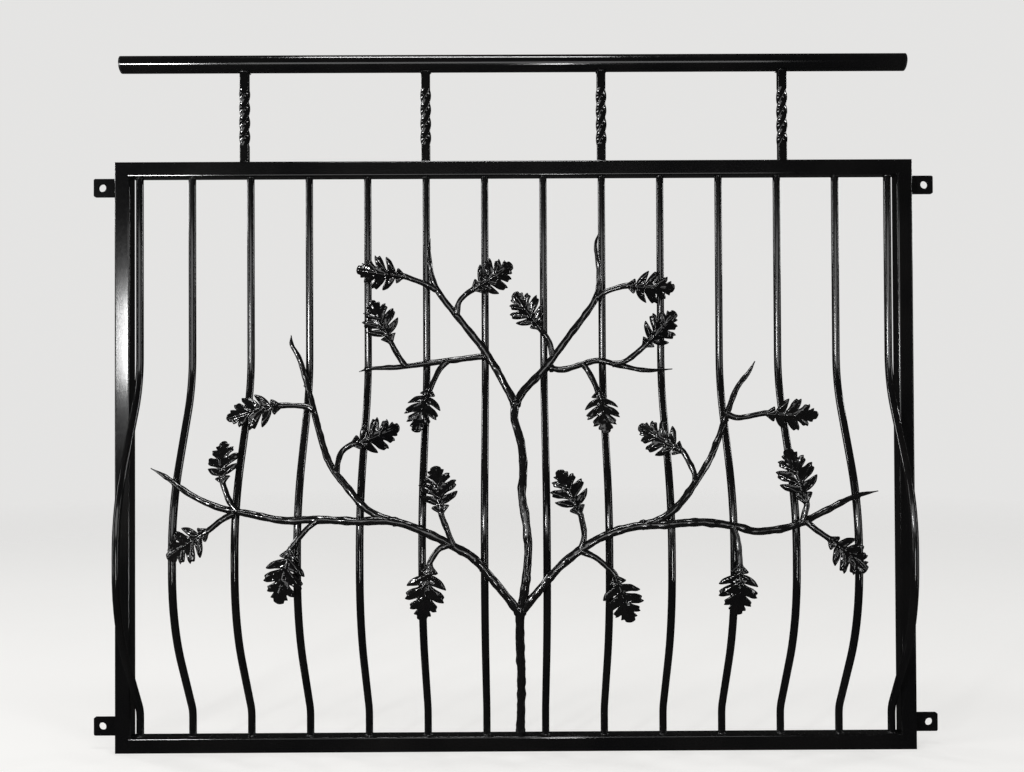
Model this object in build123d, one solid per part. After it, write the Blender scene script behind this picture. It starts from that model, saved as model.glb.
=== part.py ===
from build123d import *
import math
import os

# Bow-fronted window guard, welded steel. X to the right, Y into the wall, Z up.
# The origin is the middle of the four fixing holes, on the wall face (y = 0).

# Rectangular frame of square tube
frame_width = 1300.0  # over the outer faces of the side tubes
frame_height = 960.0  # over the outer faces of the top and bottom tubes
tube_side = 25.0
tube_wall = 2.0
tube_corner = 3.0  # outside corner radius

# Round bars
bar_count = 14
bar_diameter = 12.0
end_bar_gap = 6.0  # from a side tube to the first bar
end_bar_pitch = 86.0  # from the first bar to the second; the others share the rest

# Side profile of the bars: heights are above the underside of the frame
belly_depth = 95.0
belly_start = 596.0
belly_top = 406.0
belly_bottom = 228.0
belly_end = 66.0
belly_start_radius = 200.0
belly_radius = 300.0
foot_radius = 40.0

# Handrail on twisted posts
rail_diameter = 28.0
rail_wall = 2.0
rail_length = 1280.0
cap_head = 6.0  # shown beyond the end of the tube
cap_dome = 3.0  # how far the face of the cap bulges
cap_plug = 14.0  # length inside the tube
cap_clearance = 0.15  # round the plug
post_side = 14.0
post_corner = 2.5  # rounding of its four edges
post_height = 148.5  # from the frame to the underside of the handrail
post_straight = 28.0  # plain stretch at each end
post_turn = 360.0  # degrees of twist in between
post_places = (-441.0, -144.0, 144.0, 441.0)

# Fixing ears
ear_reach = 42.0  # beyond the side tube
ear_height = 30.0
ear_thickness = 5.0
ear_hole = 13.0
ear_hole_out = 28.0  # from the side tube to the hole
ear_hole_in = 38.0  # from the top or underside of the frame to the hole
ear_corner = 3.0

# Oak tree on the front of the bars
weld_gap = 0.1  # between a limb and what it is welded to
drawn_half_span = 527.0  # across to the second bar when the tree's points were set out
twig_root_radius = 4.2
twig_end_radius = 3.4
twig_clearance = 3.0  # between a twig's root and the bars
twig_rise = 2.0  # how far a twig climbs away from the bars after its root
leaf_clearance = 14.0  # from the bars to the foot of a leaf
leaf_thickness = 3.0
leaf_cup_radius = 125.0
vein_radius = 2.4
vein_share = 0.8  # how much of the leaf the raised midrib covers

tube_middle = -tube_side / 2
bar_radius = bar_diameter / 2
frame_bottom = -frame_height / 2
frame_top = frame_height / 2
rail_axis = frame_top + post_height + rail_diameter / 2
leaf_stand = bar_radius + leaf_clearance  # from the middle of the bars


def largest(shape):
    return max(shape.solids(), key=lambda solid: solid.volume)


# Frame: each tube is cut at 45 degrees to meet its neighbours
def square_tube(length):
    outside = RectangleRounded(tube_side, tube_side, tube_corner)
    bore = RectangleRounded(tube_side - 2 * tube_wall, tube_side - 2 * tube_wall, tube_corner - tube_wall)
    return extrude(outside - bore, length / 2, both=True)


def mitred(length):
    # lies along X with its outer face up; the slanted ends meet the next tubes
    half = length / 2
    side = make_face(
        Polyline(
            (-half, tube_side / 2),
            (half, tube_side / 2),
            (half - tube_side, -tube_side / 2),
            (-half + tube_side, -tube_side / 2),
            close=True,
        )
    )
    blank = Rot(0, 90, 0) * square_tube(length)
    return blank & extrude(Plane.XZ * side, tube_side, both=True)


def frame_tubes():
    flat = mitred(frame_width)
    upright = mitred(frame_height)
    across = frame_width / 2 - tube_side / 2
    up = frame_height / 2 - tube_side / 2
    return {
        "top_rail": Pos(0, tube_middle, up) * flat,
        "bottom_rail": Pos(0, tube_middle, -up) * Rot(0, 180, 0) * flat,
        "right_stile": Pos(across, tube_middle, 0) * Rot(0, 90, 0) * upright,
        "left_stile": Pos(-across, tube_middle, 0) * Rot(0, -90, 0) * upright,
    }


# Bars: one side profile, repeated across the frame
def bar_places():
    first = frame_width / 2 - tube_side - end_bar_gap - bar_radius
    second = first - end_bar_pitch
    inner = bar_count - 2
    spaced = [-second + 2 * second * i / (inner - 1) for i in range(inner)]
    return [-first] + spaced + [first]


def bar_line():
    points = [
        (0, frame_height - tube_side),
        (0, belly_start),
        (belly_depth, belly_top),
        (belly_depth, belly_bottom),
        (0, belly_end),
        (0, tube_side),
    ]
    corners = [(0, tube_middle - out, frame_bottom + up) for out, up in points]
    return FilletPolyline(*corners, radius=[belly_start_radius, belly_radius, belly_radius, foot_radius])


side_line = bar_line()


def bar(place, swell=0.0):
    section = Plane(side_line @ 0, z_dir=side_line % 0) * Circle(bar_radius + swell)
    return Pos(place, 0, 0) * sweep(section, path=side_line)


def middle_of_bars(height):
    # y of the bars' centre line at this height above the underside of the frame
    wanted = frame_bottom + height
    near, far = 0.0, 1.0
    while far - near > 1e-7:
        half = (near + far) / 2
        if (side_line @ half).Z > wanted:
            near = half
        else:
            far = half
    return (side_line @ near).Y


# Handrail, its caps and its posts
def handrail_tube():
    ring = Circle(rail_diameter / 2) - Circle(rail_diameter / 2 - rail_wall)
    return Pos(0, tube_middle, rail_axis) * Rot(0, 90, 0) * extrude(ring, rail_length / 2, both=True)


def end_cap():
    # stands on the end of the tube, dome up, plug down
    radius = rail_diameter / 2
    dome = (radius**2 + cap_dome**2) / (2 * cap_dome)
    head = Cylinder(radius, cap_head, align=(Align.CENTER, Align.CENTER, Align.MIN))
    head = head & Pos(0, 0, cap_head - dome) * Sphere(dome)
    plug_radius = radius - rail_wall - cap_clearance
    plug = Cylinder(plug_radius, cap_plug, align=(Align.CENTER, Align.CENTER, Align.MAX))
    return head + plug


def end_caps():
    right = Pos(rail_length / 2, tube_middle, rail_axis) * Rot(0, 90, 0) * end_cap()
    left = Pos(-rail_length / 2, tube_middle, rail_axis) * Rot(0, -90, 0) * end_cap()
    return Compound([*right.solids(), *left.solids()])


def twisted_post(place):
    section = RectangleRounded(post_side, post_side, post_corner)
    twisted = post_height - 2 * post_straight
    foot = extrude(section, post_straight)
    middle = Solid.extrude_linear_with_rotation(section.face(), (0, 0, 0), (0, 0, twisted), post_turn)
    middle = Pos(0, 0, post_straight) * middle
    head = Pos(0, 0, post_straight + twisted) * extrude(section, post_straight + rail_diameter / 2)
    blank = Pos(place, tube_middle, frame_top) * (foot + middle + head)
    handrail = Pos(0, tube_middle, rail_axis) * Rot(0, 90, 0) * Cylinder(rail_diameter / 2, rail_length)
    return largest(blank - handrail)


# Fixing ears: flat bar, welded by its end to the side of the frame
def ear(side, up):
    plate = Box(ear_reach, ear_thickness, ear_height)
    outer = plate.edges().filter_by(Axis.Y).group_by(Axis.X)[-1 if side > 0 else 0]
    plate = fillet(outer, ear_corner)
    hole = Rot(90, 0, 0) * Cylinder(ear_hole / 2, 2 * ear_thickness)
    plate -= Pos(side * (ear_hole_out - ear_reach / 2), 0, 0) * hole
    across = side * (frame_width / 2 + ear_reach / 2)
    return Pos(across, -ear_thickness / 2, up * (frame_height / 2 - ear_hole_in)) * plate


# Tree: a route is (across, height above the underside of the frame, radius) from root to tip
trunk_foot_stand = 1.5  # how far in front of the bars' middle the trunk stands on the rail
trunk_spare = 4.0  # length below the top of the rail, cut off where it meets the rail
limbs = {
    "trunk": [(7, tube_side - trunk_spare, 6.8), (8, 89, 6.5), (8, 138, 6.5), (6, 195, 6.5), (6, 252, 6.5)],
    "centre_stem": [
        (6, 249, 6.3), (13, 280, 6.1), (17, 316, 6.0), (19, 345, 6.0), (16, 380, 6.0), (10, 424, 6.0),
        (12, 456, 6.0), (11, 490, 6.0), (6, 514, 6.0), (-1, 540, 6.0), (1, 563, 6.0),
    ],
    "left_lower_limb": [
        (6, 243, 6.0), (-20, 278, 6.0), (-62, 327, 6.0), (-95, 348, 6.0), (-147, 373, 6.0), (-190, 386, 6.0),
        (-245, 386, 5.8), (-305, 389, 5.6), (-355, 388, 5.4), (-404, 397, 5.2), (-456, 408, 4.8),
        (-500, 427, 4.4), (-541, 453, 3.4), (-568, 466, 1.6),
    ],
    "left_rising_branch": [
        (-180, 384, 5.2), (-205, 392, 5.2), (-232, 407, 5.2), (-260, 437, 5.2), (-289, 472, 5.0),
        (-310, 520, 4.8), (-333, 586, 4.4), (-349, 636, 4.0), (-362, 660, 3.2), (-364, 677, 1.6),
    ],
    "right_lower_limb": [
        (6, 243, 6.0), (31, 275, 6.0), (73, 322, 6.0), (126, 358, 6.0), (180, 376, 6.0), (226, 379, 6.0),
        (288, 382, 5.8), (338, 375, 5.6), (370, 368, 5.4), (426, 377, 5.2), (482, 402, 4.6),
        (524, 420, 3.8), (560, 427, 1.6),
    ],
    "right_rising_branch": [
        (190, 378, 5.4), (222, 387, 5.4), (255, 413, 5.2), (280, 444, 5.0), (305, 478, 4.8),
        (332, 530, 4.6), (357, 583, 4.2), (380, 612, 3.2), (392, 631, 1.6),
    ],
    "upper_left_limb": [
        (1, 560, 5.8), (-12, 587, 5.8), (-46, 646, 5.6), (-84, 695, 5.2), (-127, 752, 4.6),
        (-138, 800, 3.4), (-137, 834, 1.6),
    ],
    "upper_left_side_branch": [
        (-43, 641, 4.6), (-68, 639, 4.6), (-124, 632, 4.4), (-188, 624, 4.0), (-233, 622, 2.8),
        (-253, 617, 1.6),
    ],
    "upper_right_limb": [
        (1, 560, 5.8), (13, 583, 5.8), (49, 621, 5.6), (90, 675, 5.2), (131, 732, 4.8),
        (138, 775, 4.0), (133, 820, 2.8), (138, 841, 1.6),
    ],
    "upper_right_side_branch": [
        (56, 622, 4.6), (81, 619, 4.6), (133, 633, 4.4), (171, 625, 4.0), (214, 617, 3.4), (257, 619, 1.6),
    ],
}
grown_from = {
    "centre_stem": ["trunk"],
    "left_lower_limb": ["trunk", "centre_stem"],
    "right_lower_limb": ["trunk", "centre_stem", "left_lower_limb"],
    "left_rising_branch": ["left_lower_limb"],
    "right_rising_branch": ["right_lower_limb"],
    "upper_left_limb": ["centre_stem"],
    "upper_right_limb": ["centre_stem", "upper_left_limb"],
    "upper_left_side_branch": ["upper_left_limb"],
    "upper_right_side_branch": ["upper_right_limb"],
}

# A leaf is its twig's points, its foot and its tip (across, height), its width, how far the tip
# stands out beyond the foot, and its roll about its own length in degrees.
leaves = [
    ("upper_left_limb", [(-127, 749), (-144, 758)], (-176, 770), (-255, 782), 56, 2, -18),
    ("upper_left_side_branch", [(-177, 625), (-188, 641)], (-199, 662), (-232, 731), 58, 6, 10),
    ("upper_left_limb", [(-94, 708), (-90, 728), (-79, 741)], (-68, 748), (-3, 789), 58, 2, 14),
    ("upper_right_limb", [(62, 640), (56, 664)], (42, 684), (-1, 743), 56, 4, -12),
    ("upper_right_limb", [(134, 735), (149, 745)], (181, 754), (260, 749), 54, 2, 18),
    ("upper_right_side_branch", [(158, 627), (180, 632)], (208, 654), (260, 711), 56, 4, 12),
    ("upper_left_side_branch", [(-109, 633), (-122, 619)], (-136, 589), (-157, 519), 56, 2, 10),
    ("upper_right_side_branch", [(110, 629), (123, 609)], (133, 584), (144, 516), 56, 2, -10),
    ("left_rising_branch", [(-323, 555), (-336, 561)], (-372, 563), (-456, 542), 56, 6, 13),
    ("left_lower_limb", [(-424, 401), (-437, 416)], (-448, 442), (-456, 508), 56, 4, -12),
    ("left_lower_limb", [(-430, 399), (-447, 390)], (-465, 375), (-527, 332), 56, 0, 12),
    ("left_lower_limb", [(-302, 389), (-319, 374)], (-340, 348), (-360, 263), 62, 2, 0),
    ("left_rising_branch", [(-277, 457), (-276, 472), (-271, 490)], (-257, 501), (-182, 529), 56, 0, 14),
    ("left_lower_limb", [(-95, 348), (-103, 369)], (-113, 396), (-124, 469), 60, 2, 6),
    ("left_lower_limb", [(-101, 351), (-117, 344)], (-130, 325), (-144, 236), 61, 2, -6),
    ("right_lower_limb", [(97, 339), (104, 363)], (99, 394), (66, 462), 56, 2, 10),
    ("right_lower_limb", [(99, 340), (123, 329)], (149, 306), (175, 230), 60, 0, 8),
    ("right_rising_branch", [(278, 442), (276, 457)], (262, 488), (195, 528), 56, 0, -12),
    ("right_rising_branch", [(339, 545), (357, 540)], (397, 547), (481, 544), 54, 5, 15),
    ("right_lower_limb", [(436, 380), (439, 389)], (444, 409), (423, 492), 60, 4, -8),
    ("right_lower_limb", [(443, 383), (459, 369)], (473, 359), (532, 308), 56, 0, -10),
    ("right_lower_limb", [(330, 377), (337, 356)], (339, 322), (335, 242), 60, 2, 6),
]

# Half of an oak leaf: (share of the length, share of the half width)
leaf_half = [
    (0.02, 0.08), (0.10, 0.26), (0.17, 0.34), (0.22, 0.20), (0.28, 0.34), (0.33, 0.72), (0.42, 0.78),
    (0.43, 0.34), (0.50, 0.44), (0.57, 0.94), (0.67, 0.96), (0.65, 0.42), (0.71, 0.40), (0.80, 0.66),
    (0.87, 0.56), (0.84, 0.30), (0.92, 0.28),
]


# The tree spreads with the bars that it is welded to
tree_spread = bar_places()[-2] / drawn_half_span


def on_bars(across, height, stand):
    return Vector(across * tree_spread, middle_of_bars(height) - stand, frame_bottom + height)


def tapered(points, radii):
    sections = []
    for i, (point, radius) in enumerate(zip(points, radii)):
        before = points[max(i - 1, 0)]
        after = points[min(i + 1, len(points) - 1)]
        sections.append(Plane(point, z_dir=(after - before).normalized()) * Circle(radius))
    return loft(sections)


def limb(name, swell=0.0):
    route = limbs[name]
    stands = [bar_radius + radius + weld_gap for _, _, radius in route]
    if name == "trunk":
        last = len(route) - 1
        stands = [trunk_foot_stand + (stands[last] - trunk_foot_stand) * i / last for i in range(last + 1)]
    points = [on_bars(across, height, stand) for (across, height, _), stand in zip(route, stands)]
    return tapered(points, [radius + swell for _, _, radius in route])


def leaf_blade(length, width):
    # lies along X from its foot, face up, domed
    half = [(share * length, side * width / 2) for share, side in leaf_half]
    mirrored = [(x, -y) for x, y in reversed(half)]
    outline = Spline(*half, (length, 0), *mirrored, periodic=True)
    centre = math.sqrt(leaf_cup_radius**2 - (length / 2) ** 2)
    rise = leaf_cup_radius - centre
    block = extrude(make_face(outline), rise + leaf_thickness, both=True)
    outer = leaf_cup_radius + leaf_thickness / 2
    shell = Sphere(outer) - Sphere(outer - leaf_thickness)
    return largest(block & Pos(length / 2, 0, -centre) * shell)


def leaf_spray(limb_points, foot, tip, width, lift, roll):
    start = on_bars(*foot, leaf_stand)
    end = on_bars(*tip, leaf_stand + lift)
    along = (end - start).normalized()
    length = (end - start).length
    level = Plane(start, x_dir=along, z_dir=Vector(0, -1, 0) + along * along.Y)
    seat = level.rotated((roll, 0, 0))
    blade = seat * leaf_blade(length, width)
    rise = leaf_cup_radius - math.sqrt(leaf_cup_radius**2 - (length / 2) ** 2)
    crest = seat.from_local_coords(Vector(length / 2, 0, rise))
    vein_rise = rise * 4 * vein_share * (1 - vein_share)
    vein_end = seat.from_local_coords(Vector(length * vein_share, 0, vein_rise))
    stand = bar_radius + twig_root_radius + twig_clearance
    twig = [on_bars(*limb_points[0], stand)]
    twig += [on_bars(*point, stand + twig_rise) for point in limb_points[1:]]
    radii = [twig_root_radius] * len(twig) + [twig_end_radius, vein_radius, vein_radius / 2]
    stem = tapered([*twig, start, crest, vein_end], radii)
    return blade + stem


os.makedirs("parts", exist_ok=True)
nodes = frame_tubes()
for number, place in enumerate(bar_places(), start=1):
    nodes[f"bar_{number:02d}"] = bar(place)
nodes["handrail_tube"] = handrail_tube()
nodes["handrail_end_caps"] = end_caps()
for number, place in enumerate(post_places, start=1):
    nodes[f"twisted_post_{number}"] = twisted_post(place)
for level, up in (("top", 1), ("bottom", -1)):
    for hand, side in (("left", -1), ("right", 1)):
        nodes[f"ear_{level}_{hand}"] = ear(side, up)

# A limb is ground to the bars that it sits on, and its root is cut to the shape of its parent
bar_cutters = [bar(place, weld_gap) for place in bar_places()]
cutters = {name: limb(name, weld_gap) for name in limbs}
for name in limbs:
    shape = largest(limb(name) - bar_cutters)
    for parent in grown_from.get(name, []):
        shape = largest(shape - cutters[parent])
    nodes[name] = shape
rail_top = Plane.XY.offset(frame_bottom + tube_side)
nodes["trunk"] = split(nodes["trunk"], bisect_by=rail_top, keep=Keep.TOP)
for number, (parent, *shape) in enumerate(leaves, start=1):
    nodes[f"oak_leaf_{number:02d}"] = largest(leaf_spray(*shape) - cutters[parent])

for name, shape in nodes.items():
    shape.label = name
    export_step(shape, f"parts/{name}.step")
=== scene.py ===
import math
import random
import bpy
from mathutils import Matrix, Vector, noise
from mathutils.bvhtree import BVHTree
from mathutils.geometry import delaunay_2d_cdt


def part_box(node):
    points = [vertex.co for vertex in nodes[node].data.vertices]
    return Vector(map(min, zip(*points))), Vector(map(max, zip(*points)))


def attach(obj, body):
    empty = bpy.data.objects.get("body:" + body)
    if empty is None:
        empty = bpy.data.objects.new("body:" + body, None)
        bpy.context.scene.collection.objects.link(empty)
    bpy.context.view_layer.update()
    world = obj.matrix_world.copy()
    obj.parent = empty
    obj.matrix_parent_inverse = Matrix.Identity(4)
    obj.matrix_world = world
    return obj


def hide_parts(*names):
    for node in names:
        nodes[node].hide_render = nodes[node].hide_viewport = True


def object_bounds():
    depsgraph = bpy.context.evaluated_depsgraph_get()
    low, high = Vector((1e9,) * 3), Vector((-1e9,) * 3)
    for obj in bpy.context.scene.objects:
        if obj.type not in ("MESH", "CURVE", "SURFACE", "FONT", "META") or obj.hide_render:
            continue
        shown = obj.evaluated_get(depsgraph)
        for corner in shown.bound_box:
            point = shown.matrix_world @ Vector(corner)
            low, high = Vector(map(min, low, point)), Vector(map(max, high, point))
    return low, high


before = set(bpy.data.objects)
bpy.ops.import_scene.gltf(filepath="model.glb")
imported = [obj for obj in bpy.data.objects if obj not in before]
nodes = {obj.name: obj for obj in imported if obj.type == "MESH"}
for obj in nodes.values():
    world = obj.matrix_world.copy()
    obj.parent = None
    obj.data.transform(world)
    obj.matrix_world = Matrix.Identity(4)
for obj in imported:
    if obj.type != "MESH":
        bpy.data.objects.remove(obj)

mm = 0.001
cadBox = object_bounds()
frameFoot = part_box("left_stile")[0].z  # underside of the frame
print("frame loaded:", len(nodes), "nodes")


# an output socket that can be used in sums
class Signal:
    def __init__(self, board, socket):
        self.board = board
        self.socket = socket

    def maths(self, operation, *values):
        return self.board.signal("ShaderNodeMath", {"operation": operation}, dict(enumerate(values)))

    def __add__(self, other):
        return self.maths("ADD", self, other)

    def __radd__(self, other):
        return self.maths("ADD", other, self)

    def __sub__(self, other):
        return self.maths("SUBTRACT", self, other)

    def __rsub__(self, other):
        return self.maths("SUBTRACT", other, self)

    def __mul__(self, other):
        return self.maths("MULTIPLY", self, other)

    def __rmul__(self, other):
        return self.maths("MULTIPLY", other, self)

    def clamped(self):
        return self.maths("MINIMUM", self.maths("MAXIMUM", self, 0.0), 1.0)


# the nodes of one material, or of the sky
class Board:
    def __init__(self, tree):
        self.tree = tree
        self.tree.nodes.clear()

    def add(self, kind, settings=None, sockets=None):
        node = self.tree.nodes.new(kind)
        for key, value in (settings or {}).items():
            setattr(node, key, value)
        for key, value in (sockets or {}).items():
            self.feed(node.inputs[key], value)
        return node

    def feed(self, socket, value):
        if isinstance(value, Signal):
            value = value.socket
        if isinstance(value, bpy.types.NodeSocket):
            self.tree.links.new(value, socket)
        else:
            socket.default_value = value

    def signal(self, kind, settings=None, sockets=None, output=0):
        return Signal(self, self.add(kind, settings, sockets).outputs[output])


class Paint(Board):
    def __init__(self, name):
        self.material = bpy.data.materials.new(name)
        self.material.use_nodes = True
        super().__init__(self.material.node_tree)
        self.surface = self.add("ShaderNodeBsdfPrincipled")
        self.add("ShaderNodeOutputMaterial", {}, {"Surface": self.surface.outputs[0]})

    def place(self):
        return self.signal("ShaderNodeTexCoord", output="Object")

    def stretched(self, scale):
        return self.signal("ShaderNodeMapping", {}, {"Vector": self.place(), "Scale": scale})

    def speckle(self, where, scale, detail=2.0, rough=0.5):
        sockets = {"Vector": where, "Scale": scale, "Detail": detail, "Roughness": rough}
        return self.signal("ShaderNodeTexNoise", {}, sockets, "Fac")

    def ramp(self, value, low, high):
        return self.signal("ShaderNodeMapRange", {}, {"Value": value, "From Min": low, "From Max": high})

    def blend(self, amount, first, second):
        sockets = {0: amount, 6: first, 7: second}  # the colour sockets of a Mix node
        return self.signal("ShaderNodeMix", {"data_type": "RGBA"}, sockets, 2)

    def bump(self, height, depth):
        return self.signal("ShaderNodeBump", {}, {"Strength": 1.0, "Distance": depth, "Height": height})

    def finish(self, **inputs):
        for key, value in inputs.items():
            self.feed(self.surface.inputs[key.replace("_", " ")], value)
        return self.material


# gloss black paint on steel
glossLook = {
    "black": (0.0028, 0.0028, 0.0031, 1),
    "thin": (0.0058, 0.0055, 0.0055, 1),  # where the coat is thin and a little browner
    "dust": (0.11, 0.105, 0.1, 1),
    "dustShare": 0.1,
    "roughness": 0.09,
    "cloudRoughness": 0.09,
    "dustRoughness": 0.18,
    "fineRoughness": 0.05,
    "cloudSize": 7.0,
    "fineSize": 160.0,
    "peelSize": 90.0,
    "runSize": (90.0, 90.0, 9.0),  # faint runs down the coat
    "runShare": 0.8,
    "ior": 1.45,
    "coat": 0.35,
    "coatRoughness": 0.06,
}


def blackGloss(name, depth, extraRough=0.0, peelSize=glossLook["peelSize"]):
    paint = Paint(name)
    place = paint.place()
    cloud = paint.speckle(place, glossLook["cloudSize"], 4.0)
    fine = paint.speckle(place, glossLook["fineSize"], 3.0)
    peel = paint.speckle(place, peelSize, 1.0)
    runs = paint.speckle(paint.stretched(glossLook["runSize"]), 1.0, 3.0)
    normal = paint.signal("ShaderNodeNewGeometry", output="Normal")
    up = paint.signal("ShaderNodeSeparateXYZ", {}, {0: normal}, "Z")
    settled = (paint.ramp(up, 0.25, 1.0) * paint.ramp(fine, 0.42, 0.75)).clamped()  # dust on top faces
    colour = paint.blend(paint.ramp(cloud, 0.35, 0.7), glossLook["black"], glossLook["thin"])
    colour = paint.blend(settled * glossLook["dustShare"], colour, glossLook["dust"])
    rough = glossLook["roughness"] + extraRough + cloud * glossLook["cloudRoughness"]
    rough = rough + settled * glossLook["dustRoughness"] + (fine - 0.5) * glossLook["fineRoughness"]
    return paint.finish(
        Base_Color=colour,
        Roughness=rough,
        Normal=paint.bump(peel + runs * glossLook["runShare"], depth),
        IOR=glossLook["ior"],
        Coat_Weight=glossLook["coat"],
        Coat_Roughness=glossLook["coatRoughness"],
    )


# the same paint over forged bark
barkCoat = {
    "roughness": 0.1,
    "cloudRoughness": 0.12,
    "hollowRoughness": 0.1,
    "cloudSize": 18.0,
    "grainSize": 340.0,
    "grainShare": 0.1,
    "lumpSize": 100.0,
    "depth": 0.00014,
    "ior": 1.5,
    "coat": 0.7,
    "coatRoughness": 0.08,
}


def barkGloss(name):
    paint = Paint(name)
    place = paint.place()
    cloud = paint.speckle(place, barkCoat["cloudSize"], 4.0)
    grain = paint.speckle(place, barkCoat["grainSize"], 4.0, 0.6)
    lumps = paint.speckle(place, barkCoat["lumpSize"], 2.0)
    proud = paint.ramp(grain, 0.36, 0.6)
    rough = barkCoat["roughness"] + cloud * barkCoat["cloudRoughness"]
    return paint.finish(
        Base_Color=paint.blend(proud, glossLook["black"], glossLook["thin"]),
        Roughness=rough + (1 - proud) * barkCoat["hollowRoughness"],
        Normal=paint.bump(grain * barkCoat["grainShare"] + lumps, barkCoat["depth"]),
        IOR=barkCoat["ior"],
        Coat_Weight=barkCoat["coat"],
        Coat_Roughness=barkCoat["coatRoughness"],
    )


# moulded plastic of the plugs in the handrail's ends
capLook = {
    "black": (0.009, 0.009, 0.0095, 1),
    "scuffed": (0.03, 0.03, 0.031, 1),
    "scuffShare": 0.3,
    "roughness": 0.24,
    "grainRoughness": 0.1,
    "scuffRoughness": 0.15,
    "grainSize": 1400.0,
    "scuffSize": (20.0, 300.0, 300.0),
    "depth": 0.00005,
    "ior": 1.48,
}


def capPlastic(name):
    paint = Paint(name)
    grain = paint.speckle(paint.place(), capLook["grainSize"], 2.0)
    scuff = paint.ramp(paint.speckle(paint.stretched(capLook["scuffSize"]), 1.0, 3.0), 0.55, 0.75)
    rough = capLook["roughness"] + grain * capLook["grainRoughness"] + scuff * capLook["scuffRoughness"]
    return paint.finish(
        Base_Color=paint.blend(scuff * capLook["scuffShare"], capLook["black"], capLook["scuffed"]),
        Roughness=rough,
        Normal=paint.bump(grain, capLook["depth"]),
        IOR=capLook["ior"],
    )


# depth is how far the orange peel stands out, in metres
coats = {
    "frame_gloss": {"depth": 0.000012},
    "bar_gloss": {"depth": 0.000006},
    "handrail_gloss": {"depth": 0.0000036},
    "leaf_gloss": {"depth": 0.00003, "peelSize": 120.0},
    "weld_gloss": {"depth": 0.00006, "peelSize": 150.0, "extraRough": 0.02},
}
paints = {name: blackGloss(name, **look) for name, look in coats.items()}
paints["bark_gloss"] = barkGloss("bark_gloss")
paints["cap_black"] = capPlastic("cap_black")


def coatOf(name):
    if name.startswith("bar_"):
        return paints["bar_gloss"]
    if name.startswith(("twisted_post", "handrail_tube")):
        return paints["handrail_gloss"]
    if name == "handrail_end_caps":
        return paints["cap_black"]
    return paints["frame_gloss"]


for name, node in nodes.items():
    for slot in node.material_slots:
        slot.material = coatOf(name)
print("paints made")


def makePiece(name, verts, faces, material):
    mesh = bpy.data.meshes.new(name)
    mesh.from_pydata([tuple(v) for v in verts], [], faces)
    mesh.materials.append(material)
    for polygon in mesh.polygons:
        polygon.use_smooth = True
    mesh.update()
    piece = bpy.data.objects.new(name, mesh)
    bpy.context.scene.collection.objects.link(piece)
    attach(piece, "root")
    return piece


def addMesh(verts, faces, moreVerts, moreFaces):
    shift = len(verts)
    return verts + moreVerts, faces + [tuple(i + shift for i in face) for face in moreFaces]


# the tree follows the bow of the bars, read from one of them
guideBar = "bar_07"
guideMesh = nodes[guideBar].data
guideMesh.calc_loop_triangles()
guideTree = BVHTree.FromPolygons(
    [v.co for v in guideMesh.vertices], [t.vertices for t in guideMesh.loop_triangles]
)
guideLow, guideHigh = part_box(guideBar)
guideAcross = (guideLow.x + guideHigh.x) / 2
guideMargin = 1 * mm  # keeps the rays off the ends of the bar
barRadius = (guideHigh.x - guideLow.x) / 2
barAcross = {}
for name in nodes:
    if name.startswith("bar_"):
        low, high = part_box(name)
        barAcross[name] = (low.x + high.x) / 2


def middleOfBars(height):
    # depth of the bars' centre line at a height above the underside of the frame, in mm
    level = min(max(frameFoot + height * mm, guideLow.z + guideMargin), guideHigh.z - guideMargin)
    front = guideTree.ray_cast(Vector((guideAcross, -1, level)), Vector((0, 1, 0)))[0]
    back = guideTree.ray_cast(Vector((guideAcross, 1, level)), Vector((0, -1, 0)))[0]
    return (front.y + back.y) / 2


def onBars(across, height, stand):
    return Vector((across * mm, middleOfBars(height) - stand * mm, frameFoot + height * mm))


def curvePoint(a, b, c, d, t):
    # Catmull-Rom between b and c
    return 0.5 * (2 * b + (c - a) * t + (2 * a - 5 * b + 4 * c - d) * t * t + (3 * b - a - 3 * c + d) * t**3)


def smoothRun(points, radii, step):
    places, sizes = [], []
    ends = [2 * points[0] - points[1], *points, 2 * points[-1] - points[-2]]
    for i in range(len(points) - 1):
        count = max(1, round((points[i + 1] - points[i]).length / step))
        for k in range(count):
            t = k / count
            places.append(curvePoint(ends[i], ends[i + 1], ends[i + 2], ends[i + 3], t))
            ease = t * t * (3 - 2 * t)
            sizes.append(radii[i] * (1 - ease) + radii[i + 1] * ease)
    return places + [points[-1]], sizes + [radii[-1]]


def tubeMesh(places, sizes, around, wobble):
    # rings along a run, closed at both ends; wobble(angle, along, size) gives the radius
    verts, faces = [], []
    side = Vector((0, -1, 0))
    along = 0.0
    for i, (place, size) in enumerate(zip(places, sizes)):
        ahead = places[min(i + 1, len(places) - 1)] - places[max(i - 1, 0)]
        ahead.normalize()
        side = (side - ahead * side.dot(ahead)).normalized()
        other = ahead.cross(side)
        if i:
            along += (place - places[i - 1]).length
        for k in range(around):
            angle = 2 * math.pi * k / around
            reach = wobble(angle, along, size)
            verts.append(place + (side * math.cos(angle) + other * math.sin(angle)) * reach)
    for i in range(len(places) - 1):
        for k in range(around):
            a, b = i * around + k, i * around + (k + 1) % around
            faces.append((a, b, b + around, a + around))
    last = (len(places) - 1) * around
    faces.append(tuple(reversed(range(around))))
    faces.append(tuple(range(last, last + around)))
    return verts, faces


# limbs with bark
bark = {
    "step": 0.0022,  # between rings of the mesh
    "around": 22,
    "girth": 1.03,
    "ridges": 0.13,
    "fineRidges": 0.6,
    "ridgeRing": 1.3,  # size of the ridges round the limb
    "ridgeAlong": 42,
    "fineAlong": 130,
    "knots": 0.22,
    "knotCount": 24,
    "knotEvery": 0.042,
    "knotLength": 0.007,
    "weldGap": 0.1,
    "trunkFootStand": 1.5,  # how far in front of the bars' middle the trunk stands on the rail
}
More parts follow.
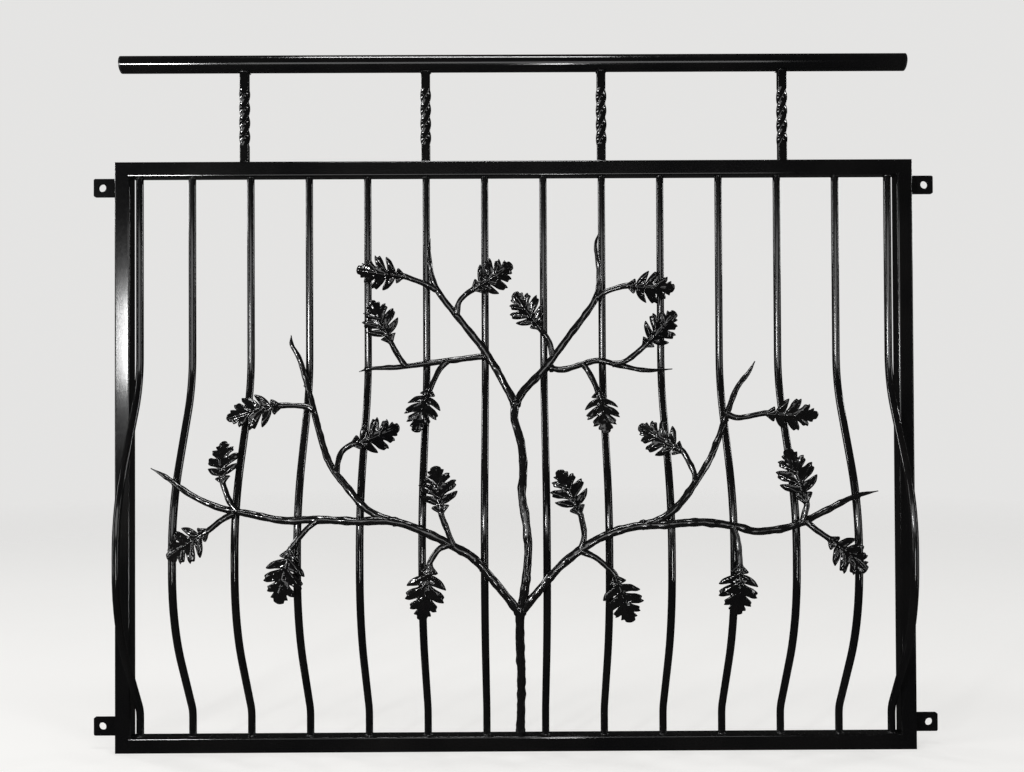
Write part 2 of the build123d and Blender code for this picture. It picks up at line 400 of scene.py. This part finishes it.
# across from the middle, height above the underside of the frame and radius, all in mm
limbs = {
    "trunk": [(7, 26, 6.6), (8, 89, 6.4), (8, 138, 6.4), (6, 195, 6.5), (6, 252, 6.5)],
    "centre_stem": [
        (6, 246, 6.3), (13, 280, 6.1), (17, 316, 6), (19, 345, 6), (16, 380, 6), (10, 424, 6), (12, 456, 6),
        (11, 490, 6), (6, 514, 6), (-1, 540, 6), (1, 566, 6),
    ],
    "left_lower_limb": [
        (6, 243, 6), (-20, 278, 6), (-62, 327, 6), (-95, 348, 6), (-147, 373, 6), (-190, 386, 6),
        (-245, 386, 5.8), (-305, 389, 5.6), (-355, 388, 5.4), (-404, 397, 5.2), (-456, 408, 4.8),
        (-500, 427, 4.4), (-541, 453, 3.2), (-568, 466, 0.8),
    ],
    "left_rising_branch": [
        (-180, 384, 5.2), (-205, 392, 5.4), (-232, 407, 5.2), (-260, 437, 5.2), (-289, 472, 5),
        (-310, 520, 4.8), (-333, 586, 4.4), (-349, 636, 4), (-362, 660, 3.2), (-364, 677, 0.8),
    ],
    "right_lower_limb": [
        (6, 243, 6), (31, 275, 6), (73, 322, 6), (126, 358, 6), (180, 376, 6), (226, 379, 6),
        (288, 382, 5.8), (338, 375, 5.6), (370, 368, 5.4), (426, 377, 5.2), (482, 402, 4.6),
        (524, 420, 3.6), (560, 427, 0.8),
    ],
    "right_rising_branch": [
        (190, 378, 5.4), (222, 387, 5.4), (255, 413, 5.2), (280, 444, 5), (305, 478, 4.8), (332, 530, 4.6),
        (357, 583, 4.2), (380, 612, 3.2), (392, 631, 0.8),
    ],
    "upper_left_limb": [
        (1, 560, 5.8), (-12, 587, 5.8), (-46, 646, 5.6), (-84, 695, 5.2), (-127, 752, 4.6), (-138, 800, 3.4),
        (-137, 834, 0.8),
    ],
    "upper_left_side_branch": [
        (-43, 641, 4.6), (-68, 639, 4.6), (-124, 632, 4.4), (-188, 624, 4), (-233, 622, 2.8),
        (-253, 617, 0.8),
    ],
    "upper_right_limb": [
        (1, 560, 5.8), (13, 583, 5.8), (49, 621, 5.6), (90, 675, 5.2), (131, 732, 4.8), (138, 775, 4),
        (133, 820, 2.8), (138, 841, 0.8),
    ],
    "upper_right_side_branch": [
        (56, 622, 4.6), (81, 619, 4.6), (133, 633, 4.4), (171, 625, 4), (214, 617, 3.4), (257, 619, 0.8),
    ],
}


def barkWobble(seed):
    dice = random.Random(seed)
    knots = []
    for i in range(bark["knotCount"]):
        place = bark["knotEvery"] * (i + dice.uniform(0.2, 0.9))
        knots.append((place, dice.uniform(0, 2 * math.pi)))

    def wobble(angle, along, size):
        across, out = math.cos(angle) * bark["ridgeRing"], math.sin(angle) * bark["ridgeRing"]
        ring = Vector((across, out, along * bark["ridgeAlong"] + seed * 7.3))
        fine = Vector((ring.x * 3.2, ring.y * 3.2, along * bark["fineAlong"] + seed))
        ridge = noise.noise(ring * 1.6) + bark["fineRidges"] * noise.noise(fine)
        swell = 1 + bark["ridges"] * ridge
        for place, facing in knots:
            reach = (along - place) / bark["knotLength"]
            if abs(reach) < 3:
                facingShare = 0.35 + 0.65 * max(0, math.cos(angle - facing))
                swell += bark["knots"] * math.exp(-reach * reach) * facingShare
        return size * swell * bark["girth"]

    return wobble


limbRuns = {}
for number, (name, route) in enumerate(limbs.items(), start=1):
    stands = [barRadius / mm + radius + bark["weldGap"] for _, _, radius in route]
    if name == "trunk":
        foot, last = bark["trunkFootStand"], len(route) - 1
        stands = [foot + (stands[last] - foot) * i / last for i in range(len(route))]
    points = [onBars(across, height, stand) for (across, height, _), stand in zip(route, stands)]
    limbRuns[name] = smoothRun(points, [radius * mm for _, _, radius in route], bark["step"])
    verts, faces = tubeMesh(*limbRuns[name], bark["around"], barkWobble(number))
    piece = makePiece(name + "_bark", verts, faces, paints["bark_gloss"])
    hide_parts(name)
print("limbs made")


# oak leaves on their twigs, sizes in mm
leafLook = {
    "grid": 1.7,  # spacing of the mesh inside a leaf
    "stand": 20.0,  # of a leaf's foot, from the middle of the bars
    "cup": 125.0,
    "thickness": 3.0,
    "underShare": 0.8,  # of the half thickness, below
    "rim": 1.5,
    "midrib": 1.5,
    "midribWidth": 1.3,
    "midribUnder": 0.5,
    "sideVein": 0.9,
    "sideVeinWidth": 0.9,
    "dish": 1.3,  # how far a lobe sinks between its vein and its rim
    "dishWidth": 2.6,
    "rimLift": 0.7,
    "rimLiftAt": 1.3,
    "rimLiftWidth": 1.1,
    "dent": 0.45,
    "dentSize": 0.22,
    "wave": 2.4,
    "waveSize": (0.05, 0.06),
    "curl": 3.2,
    "twist": 1.6,
    "jitter": 0.5,  # of the outline's corners
}
# half an oak leaf: share of the length, share of the half width
leafHalf = [
    (0.0, 0.11), (0.05, 0.20), (0.11, 0.36), (0.16, 0.46), (0.185, 0.36), (0.195, 0.19),
    (0.215, 0.36), (0.265, 0.62), (0.33, 0.83), (0.43, 0.98), (0.425, 0.78), (0.395, 0.50), (0.375, 0.26),
    (0.42, 0.48), (0.475, 0.74), (0.555, 0.97), (0.60, 0.90), (0.655, 0.97), (0.66, 0.76), (0.63, 0.54),
    (0.61, 0.36), (0.66, 0.50), (0.72, 0.68), (0.775, 0.64), (0.815, 0.68), (0.82, 0.50), (0.80, 0.33),
    (0.85, 0.40), (0.90, 0.42), (0.91, 0.28), (0.965, 0.24),
]
sideVeins = [
    ((0.01, 0), (0.15, 0.38)),
    ((0.17, 0), (0.40, 0.86)),
    ((0.33, 0), (0.6, 0.86)),
    ((0.55, 0), (0.78, 0.58)),
]
# its twig's points, its foot and tip (across, height), its width, the lift of its tip and its roll
leaves = [
    ([(-127, 749), (-144, 758)], (-176, 770), (-255, 782), 56, 2, -18),
    ([(-177, 625), (-188, 641)], (-199, 662), (-232, 731), 58, 6, 10),
    ([(-94, 708), (-90, 728), (-79, 741)], (-68, 748), (-3, 789), 58, 2, 14),
    ([(62, 640), (56, 664)], (42, 684), (-1, 743), 56, 4, -12),
    ([(134, 735), (149, 745)], (181, 754), (260, 749), 54, 2, 18),
    ([(158, 627), (180, 632)], (208, 654), (260, 711), 56, 4, 12),
    ([(-109, 633), (-122, 619)], (-136, 589), (-157, 519), 56, 2, 10),
    ([(110, 629), (123, 609)], (133, 584), (144, 516), 56, 2, -10),
    ([(-323, 555), (-336, 561)], (-372, 563), (-456, 542), 56, 6, 13),
    ([(-424, 401), (-437, 416)], (-448, 442), (-456, 508), 56, 4, -12),
    ([(-430, 399), (-447, 390)], (-465, 375), (-527, 332), 56, 0, 12),
    ([(-302, 389), (-319, 374)], (-340, 348), (-360, 263), 62, 2, 0),
    ([(-277, 457), (-276, 472), (-271, 490)], (-257, 501), (-182, 529), 56, 0, 14),
    ([(-95, 348), (-103, 369)], (-113, 396), (-124, 469), 60, 2, 6),
    ([(-101, 351), (-117, 344)], (-130, 325), (-144, 236), 61, 2, -6),
    ([(97, 339), (104, 363)], (99, 394), (66, 462), 56, 2, 10),
    ([(99, 340), (123, 329)], (149, 306), (175, 230), 60, 0, 8),
    ([(278, 442), (276, 457)], (262, 488), (195, 528), 56, 0, -12),
    ([(339, 545), (357, 540)], (397, 547), (481, 544), 54, 5, 15),
    ([(436, 380), (439, 389)], (444, 409), (423, 492), 60, 4, -8),
    ([(443, 383), (459, 369)], (473, 359), (532, 308), 56, 0, -10),
    ([(330, 377), (337, 356)], (339, 322), (335, 242), 60, 2, 6),
]


def roundOutline(length, width, dice):
    half = [Vector((x * length, y * width / 2)) for x, y in leafHalf]
    other = [Vector((v.x, -v.y)) for v in reversed(half)]
    corners = half + [Vector((length, 0))] + other
    jitter = leafLook["jitter"]
    corners = [v + Vector((dice.uniform(-jitter, jitter), dice.uniform(-jitter, jitter))) for v in corners]
    outline = []
    count = len(corners)
    for i in range(count):
        a, b, c, d = (corners[(i + k) % count] for k in (-1, 0, 1, 2))
        pieces = max(1, round((c - b).length / leafLook["grid"]))
        outline += [curvePoint(a, b, c, d, k / pieces) for k in range(pieces)]
    return outline


def toSegment(point, start, end):
    run = end - start
    t = max(0.0, min(1.0, (point - start).dot(run) / run.length_squared))
    return (point - start - run * t).length


def insideOutline(point, outline):
    inside = False
    last = outline[-1]
    for corner in outline:
        if (corner.y > point.y) != (last.y > point.y):
            if point.x < (last.x - corner.x) * (point.y - corner.y) / (last.y - corner.y) + corner.x:
                inside = not inside
        last = corner
    return inside


def leafSheet(length, width, dice):
    # a flat triangle mesh inside the outline, and each point's distance from the rim
    outline = roundOutline(length, width, dice)
    count = len(outline)
    grid = leafLook["grid"]
    edges = [(i, (i + 1) % count) for i in range(count)]

    def rimGap(point):
        return min(toSegment(point, outline[a], outline[b]) for a, b in edges)

    rows = int(width / 2 / grid)
    inside = []
    for i in range(int(length / grid) + 1):
        for j in range(-rows - 1, rows + 2):
            point = Vector(((i + 0.5 * (j % 2)) * grid, j * grid * 0.87))
            if insideOutline(point, outline) and rimGap(point) > grid * 0.55:
                inside.append(point)
    flat, _, faces, _, _, _ = delaunay_2d_cdt(outline + inside, edges, [tuple(range(count))], 1, 1e-5)
    gaps = [0.0 if i < count else rimGap(p) for i, p in enumerate(flat)]
    return flat, faces, gaps, count


def hump(distance, width):
    return math.exp(-((distance / width) ** 2))


def leafMesh(length, width, dice):
    flat, faces, gaps, count = leafSheet(length, width, dice)
    cup = leafLook["cup"]
    droop = dice.uniform(0.5, 1.0) * leafLook["curl"]
    twist = dice.uniform(-1.0, 1.0) * leafLook["twist"]
    seed = dice.uniform(0, 90)
    base = math.sqrt(cup**2 - (length / 2) ** 2)
    waveX, waveY = leafLook["waveSize"]
    veins = []
    for side in (-1, 1):
        for start, end in sideVeins:
            foot = Vector((start[0] * length, 0))
            veins.append((foot, Vector((end[0] * length, side * end[1] * width / 2))))
    top, bottom = [], []
    for point, gap in zip(flat, gaps):
        fromMiddle = Vector((point.x - length / 2, point.y))
        across, along = point.y / (width / 2), point.x / length
        rise = math.sqrt(max(cup**2 - fromMiddle.length_squared, 0)) - base
        rise -= droop * max(0.0, abs(across) - 0.45) ** 2 * 4 - twist * across * along
        midGap = abs(point.y)
        midrib = leafLook["midrib"] * (1 - 0.75 * along) * hump(midGap, leafLook["midribWidth"])
        nearVein = min(toSegment(point, a, b) for a, b in veins)
        vein = leafLook["sideVein"] * hump(nearVein, leafLook["sideVeinWidth"]) * (1 - 0.5 * abs(across))
        between = leafLook["dish"] * (hump(min(nearVein, midGap), leafLook["dishWidth"]) - 0.6)
        between += leafLook["rimLift"] * hump(gap - leafLook["rimLiftAt"], leafLook["rimLiftWidth"])
        dentPlace = Vector((point.x * leafLook["dentSize"], point.y * leafLook["dentSize"], seed))
        dents = leafLook["dent"] * noise.noise(dentPlace)
        rise += leafLook["wave"] * noise.noise(Vector((point.x * waveX, point.y * waveY, seed + 9)))
        body = math.sqrt(1 - (1 - min(gap / leafLook["rim"], 1)) ** 2)
        half = leafLook["thickness"] / 2 * body
        over = half + (midrib + vein + between + dents) * body
        under = half * leafLook["underShare"] + (midrib * leafLook["midribUnder"] - dents) * body
        top.append(Vector((point.x, point.y, rise + over)))
        bottom.append(Vector((point.x, point.y, rise - under)))
    shift = len(top) - count  # the rim's points are shared by both faces
    underFaces = [tuple(i if i < count else i + shift for i in reversed(face)) for face in faces]
    return top + bottom[count:], [tuple(face) for face in faces] + underFaces


def seatOf(start, end, roll):
    along = (end - start).normalized()
    face = (Vector((0, -1, 0)) + along * along.y).normalized()
    side = face.cross(along)
    turn = Matrix.Rotation(math.radians(roll), 3, along)
    side, face = turn @ side, turn @ face
    seat = Matrix((along, side, face)).transposed().to_4x4()
    seat.translation = start
    return seat


twigLook = {
    "root": 5.0,
    "middle": 4.1,
    "neck": 4.3,
    "onRib": 2.6,
    "end": 1.1,
    "clearance": 2.6,  # between the twig's root and the bars
    "rise": 2.0,
    "onLeaf": [(0.14, 2.4), (0.34, 5.2)],  # share of the leaf's length, height over its seat
    "step": 0.002,
    "around": 16,
}


def twigRun(twig, start, seat, length):
    stand = barRadius / mm + twigLook["root"] + twigLook["clearance"]
    run = [onBars(*twig[0], stand)] + [onBars(*p, stand + twigLook["rise"]) for p in twig[1:]]
    run += [start] + [seat @ (Vector((share * length, 0, rise)) * mm) for share, rise in twigLook["onLeaf"]]
    radii = [twigLook["root"]] + [twigLook["middle"]] * (len(twig) - 1)
    radii += [twigLook["neck"], twigLook["onRib"], twigLook["end"]]
    return smoothRun(run, [radius * mm for radius in radii], twigLook["step"])


for number, (twig, foot, tip, width, lift, roll) in enumerate(leaves, start=1):
    dice = random.Random(number * 17)
    start = onBars(*foot, leafLook["stand"])
    end = onBars(*tip, leafLook["stand"] + lift)
    seat = seatOf(start, end, roll)
    length = (end - start).length / mm
    leafVerts, leafFaces = leafMesh(length, width, dice)
    leafVerts = [seat @ (v * mm) for v in leafVerts]
    places, sizes = twigRun(twig, start, seat, length)
    twigVerts, twigFaces = tubeMesh(places, sizes, twigLook["around"], barkWobble(number + 40))
    verts, faces = addMesh(leafVerts, leafFaces, twigVerts, twigFaces)
    piece = makePiece(f"oak_leaf_spray_{number:02d}", verts, faces, paints["leaf_gloss"])
    piece.data.materials.append(paints["bark_gloss"])
    for polygon in piece.data.polygons[len(leafFaces):]:
        polygon.material_index = 1
    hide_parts(f"oak_leaf_{number:02d}")
print("leaves made")


# weld beads, sizes in mm
weld = {
    "rings": 9,
    "around": 14,
    "lump": 0.22,
    "ringAround": 40,
    "ringSection": 8,
    "barFoot": 2.85,
    "postHalf": 7.1,
    "postBead": 1.6,
    "postBeadHeight": 1.7,
    "crossing": 3.4,
    "root": 1.28,  # of the limb's own radius
    "trunkFork": (9.43, 7.79, 10.66),
    "stemFork": (7.79, 6.97, 9.02),
    "earBeads": 9,
    "earBead": (2.1, 1.9, 2.6),
}


def bead(centre, size, seed):
    verts, faces = [], []
    rings, around = weld["rings"], weld["around"]
    for i in range(1, rings):
        polar = math.pi * i / rings
        for k in range(around):
            angle = 2 * math.pi * k / around
            flat = math.sin(polar)
            way = Vector((flat * math.cos(angle), flat * math.sin(angle), math.cos(polar)))
            lump = 1 + weld["lump"] * noise.noise(way * 1.7 + Vector((seed * 3.1, seed * 1.7, 0)))
            verts.append(centre + Vector((way.x * size.x, way.y * size.y, way.z * size.z)) * lump)
    verts.append(centre + Vector((0, 0, size.z)))
    verts.append(centre - Vector((0, 0, size.z)))
    top, foot = len(verts) - 2, len(verts) - 1
    row = (rings - 2) * around
    for k in range(around):
        ahead = (k + 1) % around
        faces.append((top, k, ahead))
        faces.append((foot, row + ahead, row + k))
        for i in range(rings - 2):
            a, b = i * around + k, i * around + ahead
            faces.append((a, a + around, b + around, b))
    return verts, faces


def ringBead(centre, radius, height, seed):
    # a run of weld round a bar, lying on the tube that it stands on
    verts, faces = [], []
    around, section = weld["ringAround"], weld["ringSection"]
    for k in range(around):
        angle = 2 * math.pi * k / around
        out = Vector((math.cos(angle), math.sin(angle), 0))
        ripple = 1 + 0.25 * noise.noise(out * 2.6 + Vector((0, 0, seed * 2.3)))
        ripple += 0.12 * math.sin(angle * 13 + seed)
        for j in range(section):
            turn = 2 * math.pi * j / section
            reach = radius + height * 0.45 * ripple * math.cos(turn)
            verts.append(centre + out * reach + Vector((0, 0, height * 0.62 * ripple * math.sin(turn))))
    for k in range(around):
        ahead = (k + 1) % around
        for j in range(section):
            beside = (j + 1) % section
            near, far = k * section, ahead * section
            faces.append((near + j, far + j, far + beside, near + beside))
    return verts, faces


def gather(name, parts):
    verts, faces = [], []
    for moreVerts, moreFaces in parts:
        verts, faces = addMesh(verts, faces, moreVerts, moreFaces)
    return makePiece(name, verts, faces, paints["weld_gloss"])


def barBeads():
    beads = []
    for number, (name, across) in enumerate(sorted(barAcross.items())):
        low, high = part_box(name)
        for up, level in ((0, low.z), (1, high.z)):
            centre = Vector((across, high.y - barRadius, level))
            beads.append(ringBead(centre, barRadius, weld["barFoot"] * mm, number + up))
    return beads


def postBeads():
    beads = []
    half, out, tall = (weld[key] * mm for key in ("postHalf", "postBead", "postBeadHeight"))
    for number in range(1, 5):
        low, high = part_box(f"twisted_post_{number}")
        middle = (low + high) / 2
        for level in (low.z, high.z - out):
            for k in range(4):
                turn = math.radians(90 * k)
                way = Vector((math.cos(turn), math.sin(turn), 0))
                size = Vector((abs(way.y) * half + out, abs(way.x) * half + out, tall))
                beads.append(bead(Vector((middle.x, middle.y, level)) + way * half, size, number * 5 + k))
    return beads


def treeBeads():
    # two beads where a limb crosses a bar, and one at each root
    beads = []
    for places, sizes in limbRuns.values():
        for i in range(1, len(places)):
            for across in barAcross.values():
                if (places[i - 1].x - across) * (places[i].x - across) < 0:
                    size = sizes[i]
                    ahead = (places[i] - places[i - 1]).normalized()
                    side = ahead.cross(Vector((0, -1, 0))).normalized()
                    contact = places[i] + Vector((0, size * 0.85, 0))
                    for way in (-1, 1):
                        spot = contact + side * way * size * 0.75
                        beads.append(bead(spot, Vector((1, 0.8, 1)) * weld["crossing"] * mm, i + way))
    for name, (places, sizes) in limbRuns.items():
        reach = sizes[0] * weld["root"]
        beads.append(bead(places[2], Vector((reach, reach, reach * 1.15)), len(name)))
    beads.append(bead(limbRuns["trunk"][0][-2], Vector(weld["trunkFork"]) * mm, 3))
    beads.append(bead(limbRuns["centre_stem"][0][-2], Vector(weld["stemFork"]) * mm, 5))
    return beads


def earBeads():
    beads = []
    count = weld["earBeads"]
    for number, name in enumerate(("ear_top_left", "ear_top_right", "ear_bottom_left", "ear_bottom_right")):
        low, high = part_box(name)
        inner = high.x if high.x < 0 else low.x
        for k in range(count):
            level = low.z + (high.z - low.z) * (k + 0.5) / count
            place = Vector((inner, low.y, level))
            beads.append(bead(place, Vector(weld["earBead"]) * mm, number * 11 + k))
    return beads


gather("bar_welds", barBeads())
gather("post_welds", postBeads())
gather("tree_welds", treeBeads())
gather("ear_welds", earBeads())
print("welds made")


room = {
    "floor": (0.42, 0.417, 0.41, 1),
    "floorWorn": (0.38, 0.376, 0.367, 1),
    "glow": (0.86, 0.853, 0.838, 1),
    "sky": (0.93, 0.925, 0.915, 1),
    "skySeen": 0.84,
    "skyLight": 0.02,
    "floorSize": 6.0,
    "fadeFrom": 1.0,  # the floor melts into the sky between these distances
    "fadeTo": 4.5,
    "floorGlow": 0.76,
}


def makeFloor():
    mesh = bpy.data.meshes.new("floor")
    size = room["floorSize"]
    level = cadBox[0].z
    corners = [(-size, -size, level), (size, -size, level), (size, size, level), (-size, size, level)]
    mesh.from_pydata(corners, [], [(0, 1, 2, 3)])
    paint = Paint("floor_pale")
    place = paint.place()
    distance = paint.signal("ShaderNodeVectorMath", {"operation": "LENGTH"}, {0: place}, "Value")
    fade = paint.ramp(distance, room["fadeFrom"], room["fadeTo"])
    grain = paint.speckle(place, 3.0, 3.0)
    paint.finish(
        Base_Color=paint.blend(grain, room["floor"], room["floorWorn"]),
        Roughness=0.8,
        Alpha=(1 - fade).clamped(),
        Emission_Color=room["glow"],
        Emission_Strength=room["floorGlow"],
    )
    mesh.materials.append(paint.material)
    floor = bpy.data.objects.new("floor", mesh)
    bpy.context.scene.collection.objects.link(floor)
    floor.visible_glossy = False  # keeps the black paint deep


def makeSky():
    scene = bpy.context.scene
    scene.view_settings.view_transform = "Standard"  # keeps the pale wall from eating into thin bars
    scene.world = bpy.data.worlds.new("studio")
    scene.world.use_nodes = True
    board = Board(scene.world.node_tree)
    seen = board.add("ShaderNodeBackground", {}, {"Color": room["sky"], "Strength": room["skySeen"]})
    lit = board.add("ShaderNodeBackground", {}, {"Color": room["sky"], "Strength": room["skyLight"]})
    direct = board.signal("ShaderNodeLightPath", output="Is Camera Ray")
    mix = board.signal("ShaderNodeMixShader", {}, {0: direct, 1: lit.outputs[0], 2: seen.outputs[0]})
    board.add("ShaderNodeOutputWorld", {}, {"Surface": mix})


# each light: place, size across and up, power, all aimed at the middle of the guard
lights = {
    "softbox": ((0.0, -2.5, 0.4), (2.2, 0.8), 12),
    "strip_low": ((0.2, -2.5, -0.62), (0.13, 0.5), 8),
    "window_left": ((-1.4, -2.3, 0.32), (0.26, 0.32), 26),
    "overhead": ((-0.2, -0.5, 2.6), (1.2, 0.2), 26),
    "side_left": ((-2.3, -0.9, 0.2), (0.15, 1.6), 8),
    "side_right": ((2.3, -1.0, 0.0), (0.15, 1.6), 6),
    "back_left": ((-2.6, 1.0, 1.2), (0.3, 0.9), 16),
    "back_right": ((2.6, 0.9, 1.0), (0.25, 0.8), 10),
}
lightsAim = (0, 0, 0.05)


def makeLights():
    for name, (place, size, power) in lights.items():
        data = bpy.data.lights.new(name, "AREA")
        data.shape = "RECTANGLE"
        data.size, data.size_y = size
        data.energy = power
        lamp = bpy.data.objects.new(name, data)
        lamp.location = place
        lamp.visible_camera = False
        aim = Vector(lightsAim) - Vector(place)
        lamp.rotation_euler = aim.to_track_quat("-Z", "Y").to_euler()
        bpy.context.scene.collection.objects.link(lamp)


# angles in degrees
camera = {
    "place": (-0.0086, -1.5525, 0.0971),
    "turn": -0.155,
    "tilt": 0.575,
    "roll": 0.269,
    "lens": 33.06,
}


def makeCamera():
    data = bpy.data.cameras.new("camera")
    data.lens = camera["lens"]
    data.sensor_width = 36.0
    pose = Matrix.Translation(camera["place"])
    for key, axis in (("turn", "Z"), ("tilt", "X"), ("roll", "Y")):
        pose = pose @ Matrix.Rotation(math.radians(camera[key]), 4, axis)
    viewer = bpy.data.objects.new("camera", data)
    viewer.matrix_world = pose @ Matrix.Rotation(math.radians(90), 4, "X")
    bpy.context.scene.collection.objects.link(viewer)
    bpy.context.scene.camera = viewer


makeFloor()
makeSky()
makeLights()
makeCamera()
print("studio made")
